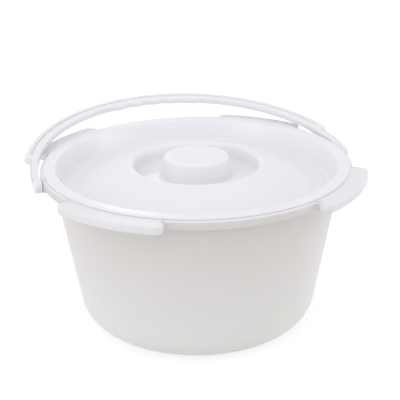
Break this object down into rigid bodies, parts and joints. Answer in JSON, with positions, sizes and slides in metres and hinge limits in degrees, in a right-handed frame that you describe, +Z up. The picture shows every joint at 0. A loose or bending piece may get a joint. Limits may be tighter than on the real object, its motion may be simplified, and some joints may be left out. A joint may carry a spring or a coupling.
{
  "type": "commode pail",
  "caption": "Round waste pail for a commode chair, with rim wings, a drop-in domed lid with a sunken knob, and a swing-over bail handle with finger grips.",
  "frame": {"origin": "centre of the pail's flat base, on the surface that it stands on", "axes": "+Z up; X along the handle's two pivots; +Y towards the back, where the handle lies folded"},
  "size_m": [0.3266, 0.3265, 0.1853],
  "materials": {
    "bucket": "translucent warm white polypropylene, satin gloss",
    "lid": "opaque cool white polypropylene, glossy",
    "handle": "opaque cool white polypropylene, glossy"
  },
  "bodies": {
    "bucket": {"bucket": "bucket"},
    "lid": {"lid": "lid"},
    "handle": {"handle": "handle"}
  },
  "joints": [
    {"name": "handle_swing", "type": "hinge", "parent": "bucket", "child": "handle", "pos_m": [0, 0, 0.155], "axis": [1, 0, 0], "range_deg": [0, 157]},
    {"name": "lid_lift", "type": "slide", "parent": "bucket", "child": "lid", "axis": [0, 0, 1], "range_m": [0, 0.2]}
  ]
}
